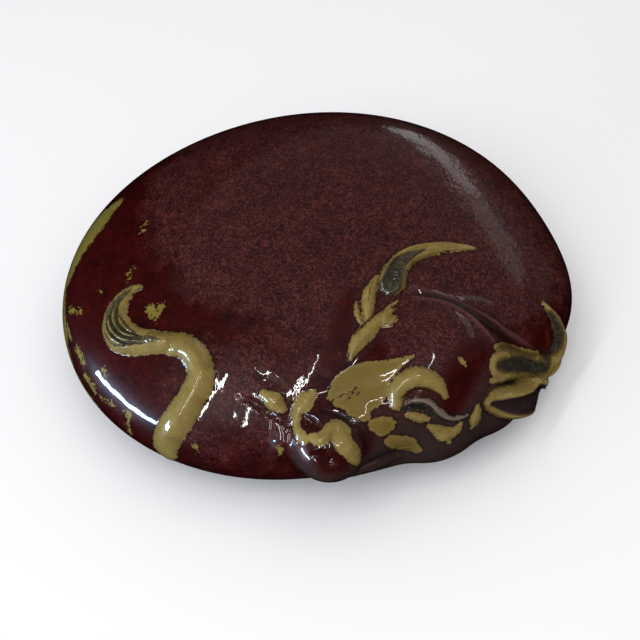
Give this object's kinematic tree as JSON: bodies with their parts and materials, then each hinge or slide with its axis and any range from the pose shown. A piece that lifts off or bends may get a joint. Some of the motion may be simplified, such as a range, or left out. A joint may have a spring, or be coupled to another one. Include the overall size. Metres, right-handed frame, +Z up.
{
  "type": "water buffalo figurine",
  "caption": "Hollow glazed stoneware figurine of a sleeping water buffalo curled into a smooth pebble, with low-relief head, horns, ears and tail, on a flat unglazed foot.",
  "frame": {"origin": "centre of the flat foot, on the plane the figurine stands on", "axes": "+Z up out of the buffalo's back, +X from the tail side to the shoulder and horn side, -Y towards the muzzle"},
  "size_m": [0.2387, 0.2163, 0.0752],
  "materials": {
    "oxblood_glaze": "thick glossy oxblood red glaze, mottled and milky over the top, orange-peel surface",
    "ochre_glaze": "the same glossy glaze broken thin to ochre over the raised details, slate grey in the grooves",
    "bare_stoneware": "unglazed fired stoneware, fine grain, matt"
  },
  "bodies": {
    "root": {"body_shell": "oxblood_glaze", "base_slab": "bare_stoneware", "head": "oxblood_glaze", "lower_jaw": "oxblood_glaze", "near_horn": "ochre_glaze", "far_horn": "ochre_glaze", "near_ear": "ochre_glaze", "far_ear": "ochre_glaze", "near_brow": "ochre_glaze", "far_brow": "ochre_glaze", "near_eyelid": "oxblood_glaze", "tail_cord": "ochre_glaze", "tail_tuft": "ochre_glaze", "hind_hoof": "ochre_glaze"}
  },
  "joints": []
}
